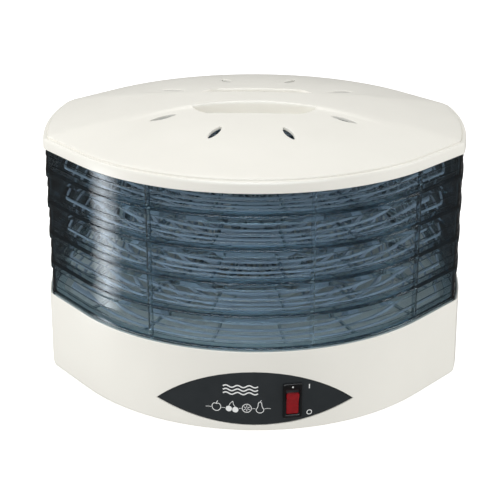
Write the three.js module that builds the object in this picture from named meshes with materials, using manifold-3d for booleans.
// Food dehydrator: a heated fan base, five stacking trays and a domed lid.
// Millimetres, +Z up, front towards -Y, origin on the table under the middle of the base.
import * as THREE from 'three';
import { mergeVertices } from 'three/addons/utils/BufferGeometryUtils.js';
import Module from 'manifold-3d';

const wasm = await Module();
wasm.setup();

// ---- driving dimensions ----
const HALF_WIDTH = 170;
const HALF_DEPTH = 151.5;
const FRONT_RADIUS = 172.8;
const FRONT_HALF_ANGLE = THREE.MathUtils.degToRad(48.5);
const END_RADIUS = 244;
const CORNER_RADIUS = 9;

const FOOT_HEIGHT = 3;
const BASE_TOP = 68.3;
const BASE_FLARE = 0.65;
const LEDGE_Z = 64.5;
const DECK_Z = 60.3;
const DECK_THICK = 2.4;
const WALL_IN = 166.9;
const SEAT_IN = 168.7;
const SEAT_OUT = 159;
const DECK_OUT = 155;
const GAP = 0.3;

const TRAY_COUNT = 5;
const TRAY_PITCH = 25.8;
const TRAY_FLOOR = 3.5;
const TRAY_FLOOR_THICK = 2;
const TRAY_OVERLAP = 3.2;
const TRAY_FOOT_HEIGHT = 5;
const TRAY_FOOT_OUT = 168.1;
const TRAY_FOOT_IN = 165.8;
const TRAY_WALL_OUT = 167.2;
const TRAY_WALL_IN = 164.2;
const TRAY_TONGUE_OUT = 165.4;
const TRAY_MESH_EDGE = 158;

const LID_SHELL = 2.4;
const LID_RIM = 168.9;
const LID_SKIRT_OUT = 167.6;
const LID_RIM_Z = 190.8;
const LID_EDGE_RADIUS = 165;
const LID_EDGE_Z = 201;
const LID_CROWN_Z = 218;
const BAR_TOP_Z = 220.5;
const BAR_HALF_DEPTH = 13;
const SCOOP_OUTER_Y = 38;
const SCOOP_FLOOR_Z = 207;
const VENT_CIRCLE = 81;
const VENT_ANGLES = [30, 70, 110, 150, 210, 250, 290, 330];
const VENT_HALF_LENGTH = 11.5;
const VENT_HALF_WIDTH = 3.1;

const PANEL_CENTRE_X = 4.6;
const PANEL_HALF_WIDTH = 74;
const PANEL_TIP_Z = 22.1;
const PANEL_RISE = 30.1;
const PANEL_DROP = 14.1;
const PANEL_FACE = 169.6;
const PANEL_BACK = 168.5;

const SWITCH_ANGLE = THREE.MathUtils.degToRad(11);
const SWITCH_Z = 27.7;
const SWITCH_HOLE_WIDTH = 12.8;
const SWITCH_HOLE_HEIGHT = 26.8;
const SWITCH_BODY_DEPTH = 17.7;
const ROCKER_Z = 26.6;
const ROCKER_TILT = THREE.MathUtils.degToRad(10);

const COVER_Z = 4.5;
const COVER_THICK = 2.5;
const COVER_TOP = COVER_Z + COVER_THICK;
const FOOT_X = 122;
const FOOT_Y = 74;
const BOSS_PLACES = [[-136, -38], [136, -38], [-136, 38], [136, 38], [0, -124], [0, 124]];
const BOSS_RADIUS = 4;

const DUCT_RADIUS = 54;
const DUCT_THICK = 0.8;
const GRILLE_RADIUS = 60;
const BRACKET_Z = 8.3;
const MOTOR_Z = 10.1;
const MOTOR_TOP = 30;
const MOTOR_RADIUS = 26;
const BRACKET_POST_X = 36;
const SHAFT_RADIUS = 1.5;
const HUB_Z = 34;
const HUB_HEIGHT = 8.5;
const HEATER_Z = 45.5;
const HEATER_HEIGHT = 11;
const HEATER_HALF_LENGTH = 50;
const BOARD_THICK = 0.8;
const COIL_RADII = [24, 40];
const COIL_WIRE = 2.2;
const LEAD_RADIUS = 1.1;
const GLAND_Z = 18;
const GLAND_RADIUS = 5;

// ---- materials ----
function plastic(color, roughness) {
  return new THREE.MeshStandardMaterial({ color, roughness, metalness: 0 });
}
function metal(color, roughness) {
  return new THREE.MeshStandardMaterial({ color, roughness, metalness: 1 });
}
const CREAM = plastic(0xefede4, 0.35);
const SMOKE = new THREE.MeshStandardMaterial({
  color: 0x5f7f88, roughness: 0.12, metalness: 0, transparent: true, opacity: 0.45,
});
const CHARCOAL = plastic(0x282e32, 0.4);
const BLACK = plastic(0x0c0c0d, 0.4);
const RED = plastic(0xb0121a, 0.25);
const RUBBER = plastic(0x2b2b2d, 0.8);
const STEEL = metal(0xb9bcc0, 0.35);
const BRONZE = metal(0xa9793c, 0.4);
const COPPER = metal(0xb5652d, 0.4);
const MICA = plastic(0xb59a6a, 0.6);
const NATURAL = plastic(0xdcd8cc, 0.5);

// ---- solids ----
function signedVolume(vertices, triangles) {
  let volume = 0;
  const a = new THREE.Vector3();
  const b = new THREE.Vector3();
  const c = new THREE.Vector3();
  for (let i = 0; i < triangles.length; i += 3) {
    a.fromArray(vertices, 3 * triangles[i]);
    b.fromArray(vertices, 3 * triangles[i + 1]);
    c.fromArray(vertices, 3 * triangles[i + 2]);
    volume += a.dot(b.cross(c)) / 6;
  }
  return volume;
}

function solid(geometry) {
  const bare = geometry.clone();
  bare.deleteAttribute('normal');
  bare.deleteAttribute('uv');
  const merged = mergeVertices(bare, 1e-4);
  const index = merged.index.array;
  const triangles = [];
  for (let i = 0; i < index.length; i += 3) {
    const [a, b, c] = [index[i], index[i + 1], index[i + 2]];
    if (a !== b && b !== c && c !== a) triangles.push(a, b, c);
  }
  const vertices = merged.attributes.position.array;
  if (signedVolume(vertices, triangles) < 0) triangles.reverse();
  return new wasm.Manifold(new wasm.Mesh({
    numProp: 3,
    vertProperties: new Float32Array(vertices),
    triVerts: new Uint32Array(triangles),
  }));
}

function union(solids) {
  return solids.reduce((sum, next) => sum.add(next));
}

function mesh(name, body, material) {
  const data = body.getMesh();
  const geometry = new THREE.BufferGeometry();
  geometry.setAttribute('position', new THREE.Float32BufferAttribute(data.vertProperties, 3));
  geometry.setIndex(new THREE.Uint32BufferAttribute(data.triVerts, 1));
  const result = new THREE.Mesh(geometry, material);
  result.name = name;
  return result;
}

function box(x, y, z, width, depth, height) {
  const geometry = new THREE.BoxGeometry(width, depth, height);
  return solid(geometry.translate(x, y, z + height / 2));
}

function rod(x, y, z, radius, height, sides = 16) {
  const geometry = new THREE.CylinderGeometry(radius, radius, height, sides);
  return solid(geometry.rotateX(Math.PI / 2).translate(x, y, z + height / 2));
}

function ring(inner, outer, z, height, sides = 24) {
  const profile = [[inner, z], [outer, z], [outer, z + height], [inner, z + height], [inner, z]];
  const points = profile.map(([r, h]) => new THREE.Vector2(r, h));
  return solid(new THREE.LatheGeometry(points, sides).rotateX(Math.PI / 2));
}

function extruded(shape, z, height) {
  const geometry = new THREE.ExtrudeGeometry(shape, { depth: height, bevelEnabled: false });
  return solid(geometry.translate(0, 0, z));
}

// A shape drawn in X and Z, pushed from the plane Y = near to Y = far.
function extrudedAlongY(shape, near, far) {
  const geometry = new THREE.ExtrudeGeometry(shape, { depth: far - near, bevelEnabled: false });
  return solid(geometry.rotateX(Math.PI / 2).translate(0, far, 0));
}

// ---- the plan outline ----
function arc(x, y, radius, from, to, steps) {
  const points = [];
  for (let i = 0; i <= steps; i += 1) {
    const angle = from + (to - from) * i / steps;
    points.push(new THREE.Vector2(x + radius * Math.cos(angle), y + radius * Math.sin(angle)));
  }
  return points;
}

// One quarter, from the middle of the right end to the middle of the back: end arc, rounded
// corner, and the back arc that the straight side is tangent to.
function quarterOutline() {
  const normal = Math.PI / 2 - FRONT_HALF_ANGLE;
  const arcY = HALF_DEPTH - FRONT_RADIUS;
  const endX = HALF_WIDTH - END_RADIUS;
  const across = new THREE.Vector2(Math.cos(normal), Math.sin(normal));
  const along = new THREE.Vector2(Math.sin(normal), -Math.cos(normal));
  const start = across.multiplyScalar(FRONT_RADIUS - CORNER_RADIUS).add(new THREE.Vector2(0, arcY));
  const toStart = start.clone().sub(new THREE.Vector2(endX, 0));
  const half = toStart.dot(along);
  const reach = (END_RADIUS - CORNER_RADIUS) ** 2 - toStart.lengthSq() + half ** 2;
  const corner = start.clone().addScaledVector(along, Math.sqrt(reach) - half);
  const endAngle = Math.atan2(corner.y, corner.x - endX);
  return [
    ...arc(endX, 0, END_RADIUS, 0, endAngle, 2),
    ...arc(corner.x, corner.y, CORNER_RADIUS, endAngle, normal, 2).slice(1),
    ...arc(0, arcY, FRONT_RADIUS, normal, Math.PI / 2, 5),
  ];
}

function wholeOutline() {
  const quarter = quarterOutline();
  const flip = (points, x, y) => points.map((p) => new THREE.Vector2(p.x * x, p.y * y));
  return [
    ...quarter.slice(0, -1),
    ...flip([...quarter].reverse(), -1, 1).slice(0, -1),
    ...flip(quarter, -1, -1).slice(0, -1),
    ...flip([...quarter].reverse(), 1, -1).slice(0, -1),
  ];
}
const OUTLINE = wholeOutline();

// A lathe whose circle is stretched onto the outline. Radii are measured along +X.
function stretchedLathe(profile) {
  const points = profile.map(([r, z]) => new THREE.Vector2(r, z));
  const geometry = new THREE.LatheGeometry(points, OUTLINE.length);
  const position = geometry.attributes.position;
  for (let i = 0; i <= OUTLINE.length; i += 1) {
    const edge = OUTLINE[i % OUTLINE.length];
    profile.forEach(([r, z], j) => {
      const scale = r / HALF_WIDTH;
      position.setXYZ(i * profile.length + j, edge.x * scale, edge.y * scale, z);
    });
  }
  return solid(geometry);
}

function outlineRadius(angle) {
  const ray = new THREE.Vector2(Math.cos(angle), Math.sin(angle));
  for (let i = 0; i < OUTLINE.length; i += 1) {
    const a = OUTLINE[i];
    const side = OUTLINE[(i + 1) % OUTLINE.length].clone().sub(a);
    const cross = ray.cross(side);
    const along = a.cross(side) / cross;
    const part = a.cross(ray) / cross;
    if (along > 0 && part >= 0 && part < 1) return along;
  }
  return HALF_WIDTH;
}

// A plate with rows of slots between spokes. radiusAt gives the plate's edge at an angle.
function slottedPlate(radiusAt, edgePoints, rows, spokes, spokeWidth, z, height) {
  const shape = new THREE.Shape(edgePoints);
  for (const [inner, outer] of rows) {
    for (let k = 0; k < spokes; k += 1) {
      const middle = (k + 0.5) * 2 * Math.PI / spokes;
      const slotArc = (scale) => [-1, 0, 1].map((side) => {
        const edge = radiusAt(middle) * scale;
        const spread = Math.PI / spokes - spokeWidth / (2 * edge);
        const angle = middle + side * spread;
        const radius = radiusAt(angle) * scale;
        return new THREE.Vector2(radius * Math.cos(angle), radius * Math.sin(angle));
      });
      shape.holes.push(new THREE.Path([...slotArc(outer), ...slotArc(inner).reverse()]));
    }
  }
  return extruded(shape, z, height);
}

// ---- base ----
function panelShape(shrink) {
  const half = PANEL_HALF_WIDTH - 1.6 * shrink;
  const shape = new THREE.Shape();
  const curve = (rise, from, steps) => {
    const points = [];
    const height = rise - shrink;
    const radius = (half ** 2 + height ** 2) / (2 * height);
    for (let i = 0; i < steps; i += 1) {
      const x = from * half * (1 - 2 * i / steps);
      points.push([x, Math.sqrt(radius ** 2 - x ** 2) - radius + height]);
    }
    return points;
  };
  const upper = curve(PANEL_RISE, 1, 10);
  const lower = curve(PANEL_DROP, -1, 10).map(([x, z]) => [x, -z]);
  const outline = [...upper, ...lower];
  shape.setFromPoints(outline.map(([x, z]) => (
    new THREE.Vector2(PANEL_CENTRE_X + x, PANEL_TIP_Z + z))));
  return shape;
}

function panelPrism(shrink) {
  return extrudedAlongY(panelShape(shrink), -200, -60);
}

// The switch stands on the curved front wall, turned to face square out of it.
function switchGroup() {
  const group = new THREE.Group();
  const arcY = HALF_DEPTH - FRONT_RADIUS;
  const radius = FRONT_RADIUS * PANEL_FACE / HALF_WIDTH;
  group.position.set(radius * Math.sin(SWITCH_ANGLE),
    -arcY * PANEL_FACE / HALF_WIDTH - radius * Math.cos(SWITCH_ANGLE), 0);
  group.rotation.z = SWITCH_ANGLE;
  group.updateMatrixWorld(true);
  return group;
}
const SWITCH_FRAME = switchGroup();

function switchOpening() {
  const geometry = new THREE.BoxGeometry(SWITCH_HOLE_WIDTH, 16, SWITCH_HOLE_HEIGHT);
  return solid(geometry.translate(0, 0, SWITCH_Z).applyMatrix4(SWITCH_FRAME.matrixWorld));
}

function glandBore(radius, y, length) {
  return solid(new THREE.CylinderGeometry(radius, radius, length, 16).translate(0, y, GLAND_Z));
}

function baseHousing() {
  const underside = DECK_Z - DECK_THICK;
  const shell = stretchedLathe([
    [0, DECK_Z], [DECK_OUT, DECK_Z], [SEAT_OUT, LEDGE_Z], [SEAT_IN, LEDGE_Z], [SEAT_IN, BASE_TOP],
    [HALF_WIDTH, BASE_TOP], [HALF_WIDTH + BASE_FLARE, FOOT_HEIGHT + 4],
    [HALF_WIDTH, FOOT_HEIGHT + 1.3], [168, FOOT_HEIGHT], [WALL_IN, FOOT_HEIGHT],
    [WALL_IN, 61.7], [158.8, 61.7], [155.2, underside], [0, underside],
  ]);
  const bossBottom = COVER_TOP + GAP;
  const bossHeight = underside + 1 - bossBottom;
  const bosses = BOSS_PLACES.map(([x, y]) => rod(x, y, bossBottom, BOSS_RADIUS, bossHeight, 8));
  const inletBlock = box(0, 146, FOOT_HEIGHT + 5, 36, 9, 24);
  let body = union([shell, ...bosses, inletBlock]);
  BOSS_PLACES.forEach(([x, y]) => {
    body = body.subtract(rod(x, y, bossBottom - 1, 2, 13, 8));
  });
  const pocketFloor = stretchedLathe([[0, 0], [PANEL_BACK - GAP, 0], [PANEL_BACK - GAP, 60], [0, 60]]);
  return body
    .subtract(rod(0, 0, underside - 1, DUCT_RADIUS, 10, 28))
    .subtract(panelPrism(0).subtract(pocketFloor))
    .subtract(switchOpening())
    .subtract(box(0, 155, FOOT_HEIGHT + 7, 26, 18, 19))
    .subtract(glandBore(GLAND_RADIUS + GAP, 140, 30));
}

function controlPanel() {
  const band = stretchedLathe([
    [PANEL_BACK, 0], [PANEL_FACE, 0], [PANEL_FACE, 60], [PANEL_BACK, 60], [PANEL_BACK, 0],
  ]);
  return panelPrism(GAP).intersect(band).subtract(switchOpening());
}

function bottomCover() {
  const edge = OUTLINE.map((p) => p.clone().multiplyScalar((WALL_IN - 2 * GAP) / HALF_WIDTH));
  const rows = [[0.17, 0.23], [0.26, 0.32]];
  const plate = slottedPlate(() => HALF_WIDTH, edge, rows, 6, 7, COVER_Z, COVER_THICK);
  const posts = [-1, 1].map((side) => (
    rod(side * BRACKET_POST_X, 0, COVER_Z + 0.5, 4.5, BRACKET_Z - GAP - COVER_Z - 0.5, 12)));
  let body = union([plate, ...posts]);
  BOSS_PLACES.forEach(([x, y]) => {
    body = body.subtract(rod(x, y, COVER_Z - 1, 2.1, 5, 8));
  });
  footPlaces().forEach(([x, y]) => {
    body = body.subtract(rod(x, y, COVER_Z - 1, 2.7, 5, 8));
  });
  [-1, 1].forEach((side) => {
    body = body.subtract(rod(side * BRACKET_POST_X, 0, COVER_Z - 1, 2, 12, 8));
  });
  return body;
}

function footPlaces() {
  return [[-FOOT_X, -FOOT_Y], [FOOT_X, -FOOT_Y], [FOOT_X, FOOT_Y], [-FOOT_X, FOOT_Y]];
}

function foot([x, y]) {
  const profile = [[0, 0], [7.2, 0], [8.2, 1], [8.2, COVER_Z - GAP], [2.2, COVER_Z - GAP],
    [2.2, COVER_TOP + 1.5], [0, COVER_TOP + 1.5]];
  const points = profile.map(([r, z]) => new THREE.Vector2(r, z));
  return solid(new THREE.LatheGeometry(points, 16).rotateX(Math.PI / 2).translate(x, y, 0));
}

function screw(x, y, headZ, headHeight, shank, up) {
  const shankZ = up ? headZ + headHeight : headZ - shank;
  const head = rod(x, y, headZ, 3.2, headHeight, 10);
  return head.add(rod(x, y, up ? shankZ - 0.5 : shankZ, 1.5, shank + 0.5, 8));
}

function cordGland() {
  const collar = GLAND_RADIUS + 3;
  const profile = [[0, 139], [GLAND_RADIUS, 139], [GLAND_RADIUS, 146.3], [collar, 146.3], [collar, 148.6],
    [GLAND_RADIUS, 150.2], [0, 150.2]];
  const points = profile.map(([r, y]) => new THREE.Vector2(r, y));
  const body = solid(new THREE.LatheGeometry(points, 20).translate(0, 0, GLAND_Z));
  return body.subtract(glandBore(3.2, 150.2, 3));
}

// ---- switch, drawn in its own frame: X across, -Y out of the panel ----
function switchHousing() {
  const flange = box(0, -0.95, SWITCH_Z - 14.3, 14.4, 1.3, 28.6);
  const bodyFront = -0.7;
  const bodyDepth = SWITCH_BODY_DEPTH - bodyFront;
  const body = box(0, bodyFront + bodyDepth / 2, SWITCH_Z - 13, SWITCH_HOLE_WIDTH - 0.6, bodyDepth, 26);
  const window = box(0, 2, ROCKER_Z - 10.2, 10.2, 20, 20.4);
  return flange.add(body).subtract(window);
}

function switchRocker() {
  const shape = new THREE.Shape();
  const pivot = 3.2;
  const profile = [[-2.6, 9.1], [-0.9, 0], [-2.6, -9.1], [4, -7.5], [6, 0], [4, 7.5]];
  shape.setFromPoints(profile.map(([y, z]) => new THREE.Vector2(y - pivot, z)));
  const geometry = new THREE.ExtrudeGeometry(shape, { depth: 9.6, bevelEnabled: false });
  geometry.translate(0, 0, -4.8).rotateX(Math.PI / 2).rotateZ(Math.PI / 2);
  return solid(geometry.rotateX(ROCKER_TILT).translate(0, pivot, ROCKER_Z));
}

// ---- fan and heater ----
function lathed(profile, sides) {
  const points = profile.map(([r, z]) => new THREE.Vector2(r, z));
  return solid(new THREE.LatheGeometry(points, sides).rotateX(Math.PI / 2));
}

function motorCan() {
  return lathed([[4.3, MOTOR_Z], [MOTOR_RADIUS, MOTOR_Z], [MOTOR_RADIUS, MOTOR_TOP],
    [MOTOR_RADIUS - 2, MOTOR_TOP], [MOTOR_RADIUS - 2, MOTOR_Z + 2], [4.3, MOTOR_Z + 2],
    [4.3, MOTOR_Z]], 20);
}

function motorBracket() {
  const strap = box(0, 0, BRACKET_Z, 2 * BRACKET_POST_X + 14, 16, 1.5);
  const holes = [-1, 1].map((side) => rod(side * BRACKET_POST_X, 0, BRACKET_Z - 1, 2, 4, 8));
  return strap.subtract(union(holes)).subtract(rod(0, 0, BRACKET_Z - 1, 6, 4, 16));
}

function fanImpeller() {
  const blades = [];
  const bladeCount = 7;
  for (let k = 0; k < bladeCount; k += 1) {
    const blade = new THREE.BoxGeometry(41, 15, 1.4).rotateX(THREE.MathUtils.degToRad(32));
    blade.translate(28.5, 0, HUB_Z + HUB_HEIGHT / 2).rotateZ(k * 2 * Math.PI / bladeCount);
    blades.push(solid(blade));
  }
  const hub = rod(0, 0, HUB_Z, 10, HUB_HEIGHT, 20);
  return union([hub, ...blades]).subtract(rod(0, 0, HUB_Z - 1, SHAFT_RADIUS + GAP, 20, 12));
}

function airDuct() {
  const top = DECK_Z - DECK_THICK - GAP;
  const bottom = 31;
  const outside = DUCT_RADIUS + DUCT_THICK;
  const flange = DUCT_RADIUS + 8;
  return lathed([[DUCT_RADIUS, bottom], [outside, bottom], [outside, top - DUCT_THICK],
    [flange, top - DUCT_THICK], [flange, top], [DUCT_RADIUS, top], [DUCT_RADIUS, bottom]], 28);
}

// A mica board with holes for the coils. Half its height is slotted to let the other one cross.
function heaterBoard(slotFromTop) {
  const half = HEATER_HEIGHT / 2;
  const end = HEATER_HALF_LENGTH;
  const slot = BOARD_THICK / 2 + GAP;
  const cut = slotFromTop ? GAP / 2 : -GAP / 2;
  const side = slotFromTop ? 1 : -1;
  const outline = [[-end, -half], [-slot, -half], [-slot, cut], [slot, cut], [slot, -half], [end, -half],
    [end, half], [-end, half]];
  const shape = new THREE.Shape(outline.map(([x, z]) => new THREE.Vector2(x, z * side)));
  COIL_RADII.flatMap((r) => [-r, r]).forEach((x) => {
    shape.holes.push(new THREE.Path(arc(x, 0, COIL_WIRE + 0.7, 0, 2 * Math.PI, 10).slice(0, -1)));
  });
  const geometry = new THREE.ExtrudeGeometry(shape, { depth: BOARD_THICK, bevelEnabled: false });
  return geometry.translate(0, 0, -BOARD_THICK / 2).rotateX(Math.PI / 2).translate(0, 0, HEATER_Z + half);
}

function heaterCoil(radius) {
  const geometry = new THREE.TorusGeometry(radius, COIL_WIRE, 6, 28);
  return solid(geometry.translate(0, 0, HEATER_Z + HEATER_HEIGHT / 2));
}

function lead(places) {
  const path = new THREE.CatmullRomCurve3(places.map(([x, y, z]) => new THREE.Vector3(x, y, z)));
  const section = new THREE.Shape(arc(0, 0, LEAD_RADIUS, 0, 2 * Math.PI, 6).slice(0, -1));
  return solid(new THREE.ExtrudeGeometry(section, { steps: 14, extrudePath: path, bevelEnabled: false }));
}

function fanGrille() {
  const rim = arc(0, 0, GRILLE_RADIUS, 0, 2 * Math.PI, 30).slice(0, -1);
  const rows = [[0.18, 0.36], [0.42, 0.6], [0.66, 0.84]];
  return slottedPlate(() => GRILLE_RADIUS, rim, rows, 6, 3, DECK_Z + GAP, 2);
}

// ---- trays and lid ----
function trayBottom(k) {
  return LEDGE_Z + GAP + k * TRAY_PITCH;
}

function tray(k) {
  const z = trayBottom(k);
  const floorTop = TRAY_FLOOR + TRAY_FLOOR_THICK;
  const wallTop = TRAY_PITCH - GAP;
  const wall = stretchedLathe([
    [TRAY_FOOT_OUT, 0], [TRAY_FOOT_OUT, TRAY_FOOT_HEIGHT], [TRAY_WALL_OUT, TRAY_FOOT_HEIGHT],
    [TRAY_WALL_OUT, wallTop], [TRAY_TONGUE_OUT, wallTop], [TRAY_TONGUE_OUT, TRAY_PITCH + TRAY_OVERLAP],
    [TRAY_WALL_IN, TRAY_PITCH + TRAY_OVERLAP], [TRAY_WALL_IN, floorTop], [TRAY_MESH_EDGE, floorTop],
    [TRAY_MESH_EDGE, TRAY_FLOOR], [TRAY_FOOT_IN, TRAY_FLOOR], [TRAY_FOOT_IN, 0], [TRAY_FOOT_OUT, 0],
  ].map(([r, h]) => [r, z + h]));
  const edge = OUTLINE.map((p) => p.clone().multiplyScalar((TRAY_MESH_EDGE + 3) / HALF_WIDTH));
  const rows = [[0.16, 0.5], [0.57, 0.9]];
  const floor = slottedPlate(outlineRadius, edge, rows, 6, 5, z + TRAY_FLOOR, TRAY_FLOOR_THICK);
  return wall.add(floor);
}

function domeZ(radius) {
  return LID_EDGE_Z + (LID_CROWN_Z - LID_EDGE_Z) * (1 - (radius / LID_EDGE_RADIUS) ** 2);
}

function lidShell() {
  const restZ = trayBottom(TRAY_COUNT) + TRAY_OVERLAP + GAP;
  const outer = [0, 30, 60, 90, 115, 137, 153, LID_EDGE_RADIUS].map((r) => [r, domeZ(r)]);
  const seatZ = restZ - TRAY_OVERLAP - 0.2;
  const rim = [[LID_RIM - 1.1, LID_EDGE_Z - 1], [LID_RIM - 0.1, LID_EDGE_Z - 3], [LID_RIM, LID_RIM_Z],
    [LID_SKIRT_OUT, LID_RIM_Z], [LID_SKIRT_OUT, seatZ], [TRAY_FOOT_IN, seatZ], [TRAY_FOOT_IN, restZ]];
  const inner = [158, 137, 105, 60, 0].map((r) => [r, domeZ(r) - LID_SHELL]);
  return stretchedLathe([...outer, ...rim, ...inner]);
}

// Plan of the grip: straight front and back lips, rounded back to the ends of the bar.
function gripPlan(grow, near) {
  const y = SCOOP_OUTER_Y + grow;
  const x = 36 + 0.6 * grow;
  const tip = 50 + grow;
  const points = [[-tip, near], [-47 - grow, -0.72 * y], [-x, -y], [x, -y], [47 + grow, -0.72 * y],
    [tip, near]];
  return new THREE.Shape(points.map(([px, py]) => new THREE.Vector2(px, py)));
}

function scoop(side) {
  const shape = gripPlan(0, -BAR_HALF_DEPTH);
  const body = extruded(shape, SCOOP_FLOOR_Z, 30);
  return side < 0 ? body : body.mirror([0, 1, 0]);
}

function gripBar() {
  const half = 52;
  const sag = 3.2;
  const radius = (half ** 2 + sag ** 2) / (2 * sag);
  const shape = new THREE.Shape();
  shape.moveTo(half, SCOOP_FLOOR_Z);
  shape.lineTo(-half, SCOOP_FLOOR_Z);
  for (let i = 0; i <= 12; i += 1) {
    const x = half * (i / 6 - 1);
    shape.lineTo(x, BAR_TOP_Z - radius + Math.sqrt(radius ** 2 - x ** 2));
  }
  return extrudedAlongY(shape, -BAR_HALF_DEPTH, BAR_HALF_DEPTH);
}

function vent(degrees) {
  const half = VENT_HALF_LENGTH;
  const width = VENT_HALF_WIDTH;
  const points = [[-half, 0], [-half / 2, -width * 0.8], [0, -width], [half / 2, -width * 0.8], [half, 0],
    [half / 2, width * 0.8], [0, width], [-half / 2, width * 0.8]];
  const shape = new THREE.Shape(points.map(([x, y]) => new THREE.Vector2(x + VENT_CIRCLE, y)));
  const geometry = new THREE.ExtrudeGeometry(shape, { depth: 30, bevelEnabled: false });
  geometry.translate(0, 0, LID_EDGE_Z - 5);
  return solid(geometry.rotateZ(THREE.MathUtils.degToRad(degrees)));
}

function lid() {
  const floorUnder = SCOOP_FLOOR_Z - LID_SHELL;
  const pocketHalf = extruded(gripPlan(LID_SHELL, 0.01), floorUnder, domeZ(0) - 6 - floorUnder);
  const pocket = pocketHalf.add(pocketHalf.mirror([0, 1, 0]));
  let body = union([lidShell(), pocket, gripBar()]);
  body = body.subtract(scoop(-1)).subtract(scoop(1));
  body = body.subtract(box(0, 0, floorUnder - 1, 90, 2 * (BAR_HALF_DEPTH - LID_SHELL), 10.5));
  VENT_ANGLES.forEach((degrees) => {
    body = body.subtract(vent(degrees));
  });
  return body;
}

// ---- assembly ----
const dehydrator = new THREE.Group();

function addBase() {
  dehydrator.add(mesh('base_housing', baseHousing(), CREAM));
  dehydrator.add(mesh('bottom_cover', bottomCover(), CREAM));
  dehydrator.add(mesh('control_panel', controlPanel(), CHARCOAL));
  dehydrator.add(mesh('cord_gland', cordGland(), RUBBER));
  dehydrator.add(mesh('fan_grille', fanGrille(), CREAM));
  footPlaces().forEach((place, i) => {
    dehydrator.add(mesh(`foot_${i + 1}`, foot(place), RUBBER));
  });
  BOSS_PLACES.forEach(([x, y], i) => {
    dehydrator.add(mesh(`cover_screw_${i + 1}`, screw(x, y, COVER_Z - GAP - 1.5, 1.5, 13, true), STEEL));
  });
}

function addSwitch() {
  SWITCH_FRAME.add(mesh('switch_housing', switchHousing(), BLACK));
  SWITCH_FRAME.add(mesh('switch_rocker', switchRocker(), RED));
  [-1, 1].forEach((side, i) => {
    const blade = box(0, SWITCH_BODY_DEPTH + GAP + 4, SWITCH_Z + side * 6 - 2.4, 0.8, 8, 4.8);
    SWITCH_FRAME.add(mesh(`switch_blade_${i + 1}`, blade, BRONZE));
  });
  dehydrator.add(SWITCH_FRAME);
}

function addMotor() {
  dehydrator.add(mesh('motor_bracket', motorBracket(), STEEL));
  dehydrator.add(mesh('motor_can', motorCan(), STEEL));
  dehydrator.add(mesh('motor_windings', ring(18.5, 23.2, MOTOR_Z + 4, 15, 20), COPPER));
  dehydrator.add(mesh('motor_end_cap', ring(4.3, MOTOR_RADIUS, MOTOR_TOP + GAP, 1.8, 20), NATURAL));
  dehydrator.add(mesh('motor_bush_bottom', ring(SHAFT_RADIUS + 0.25, 3.9, MOTOR_Z, 2.4, 12), BRONZE));
  dehydrator.add(mesh('motor_bush_top', ring(SHAFT_RADIUS + 0.25, 3.9, MOTOR_TOP, 2.6, 12), BRONZE));
  [-1, 1].forEach((side, i) => {
    const headZ = BRACKET_Z + 1.5 + GAP;
    const body = screw(side * BRACKET_POST_X, 0, headZ, 1.8, 5.2, false);
    dehydrator.add(mesh(`motor_screw_${i + 1}`, body, STEEL));
  });
  dehydrator.add(mesh('motor_rotor', ring(SHAFT_RADIUS + GAP, 17.5, MOTOR_Z + 4, 15, 20), STEEL));
  dehydrator.add(mesh('motor_shaft', rod(0, 0, MOTOR_Z + 0.2, SHAFT_RADIUS, 34.8, 12), STEEL));
  dehydrator.add(mesh('fan_impeller', fanImpeller(), NATURAL));
  const nutZ = HUB_Z + HUB_HEIGHT + GAP;
  dehydrator.add(mesh('fan_nut', ring(SHAFT_RADIUS + GAP, 3.6, nutZ, 2, 6), STEEL));
}

function addHeater() {
  dehydrator.add(mesh('air_duct', airDuct(), STEEL));
  dehydrator.add(mesh('heater_board_a', solid(heaterBoard(true)), MICA));
  dehydrator.add(mesh('heater_board_b', solid(heaterBoard(false).rotateZ(Math.PI / 2)), MICA));
  dehydrator.add(mesh('heater_coil_inner', heaterCoil(COIL_RADII[0]), STEEL));
  dehydrator.add(mesh('heater_coil_outer', heaterCoil(COIL_RADII[1]), STEEL));
  const ductOut = DUCT_RADIUS + DUCT_THICK + GAP;
  dehydrator.add(mesh('thermostat', box(ductOut + 4.5, 0, 40, 9, 16, 14), BLACK));
  dehydrator.add(mesh('thermal_fuse', box(-ductOut - 2, 0, 42, 4, 14, 4), NATURAL));
  dehydrator.add(mesh('terminal_block', box(40, 104, COVER_TOP + GAP, 30, 14, 12), NATURAL));
}

function addLeads() {
  const leads = {
    lead_supply: [[0, 138, GLAND_Z], [6, 128, 15], [14, 112, 13], [24, 107, 14]],
    lead_switch: [[45, 96, 15], [88, 60, 20], [92, -40, 24], [58, -96, 28], [37, -120, 30]],
    lead_heater: [[56, 100, 15], [96, 54, 26], [84, 10, 40], [65, 4, 46]],
    lead_motor: [[34, 96, 15], [30, 70, 20], [24, 44, 20], [20, 31, 20]],
  };
  Object.entries(leads).forEach(([name, places]) => {
    dehydrator.add(mesh(name, lead(places), RUBBER));
  });
}

addBase();
addSwitch();
addMotor();
addHeater();
addLeads();
for (let k = 0; k < TRAY_COUNT; k += 1) {
  dehydrator.add(mesh(`tray_${k + 1}`, tray(k), SMOKE));
}
dehydrator.add(mesh('lid', lid(), CREAM));

export default dehydrator;
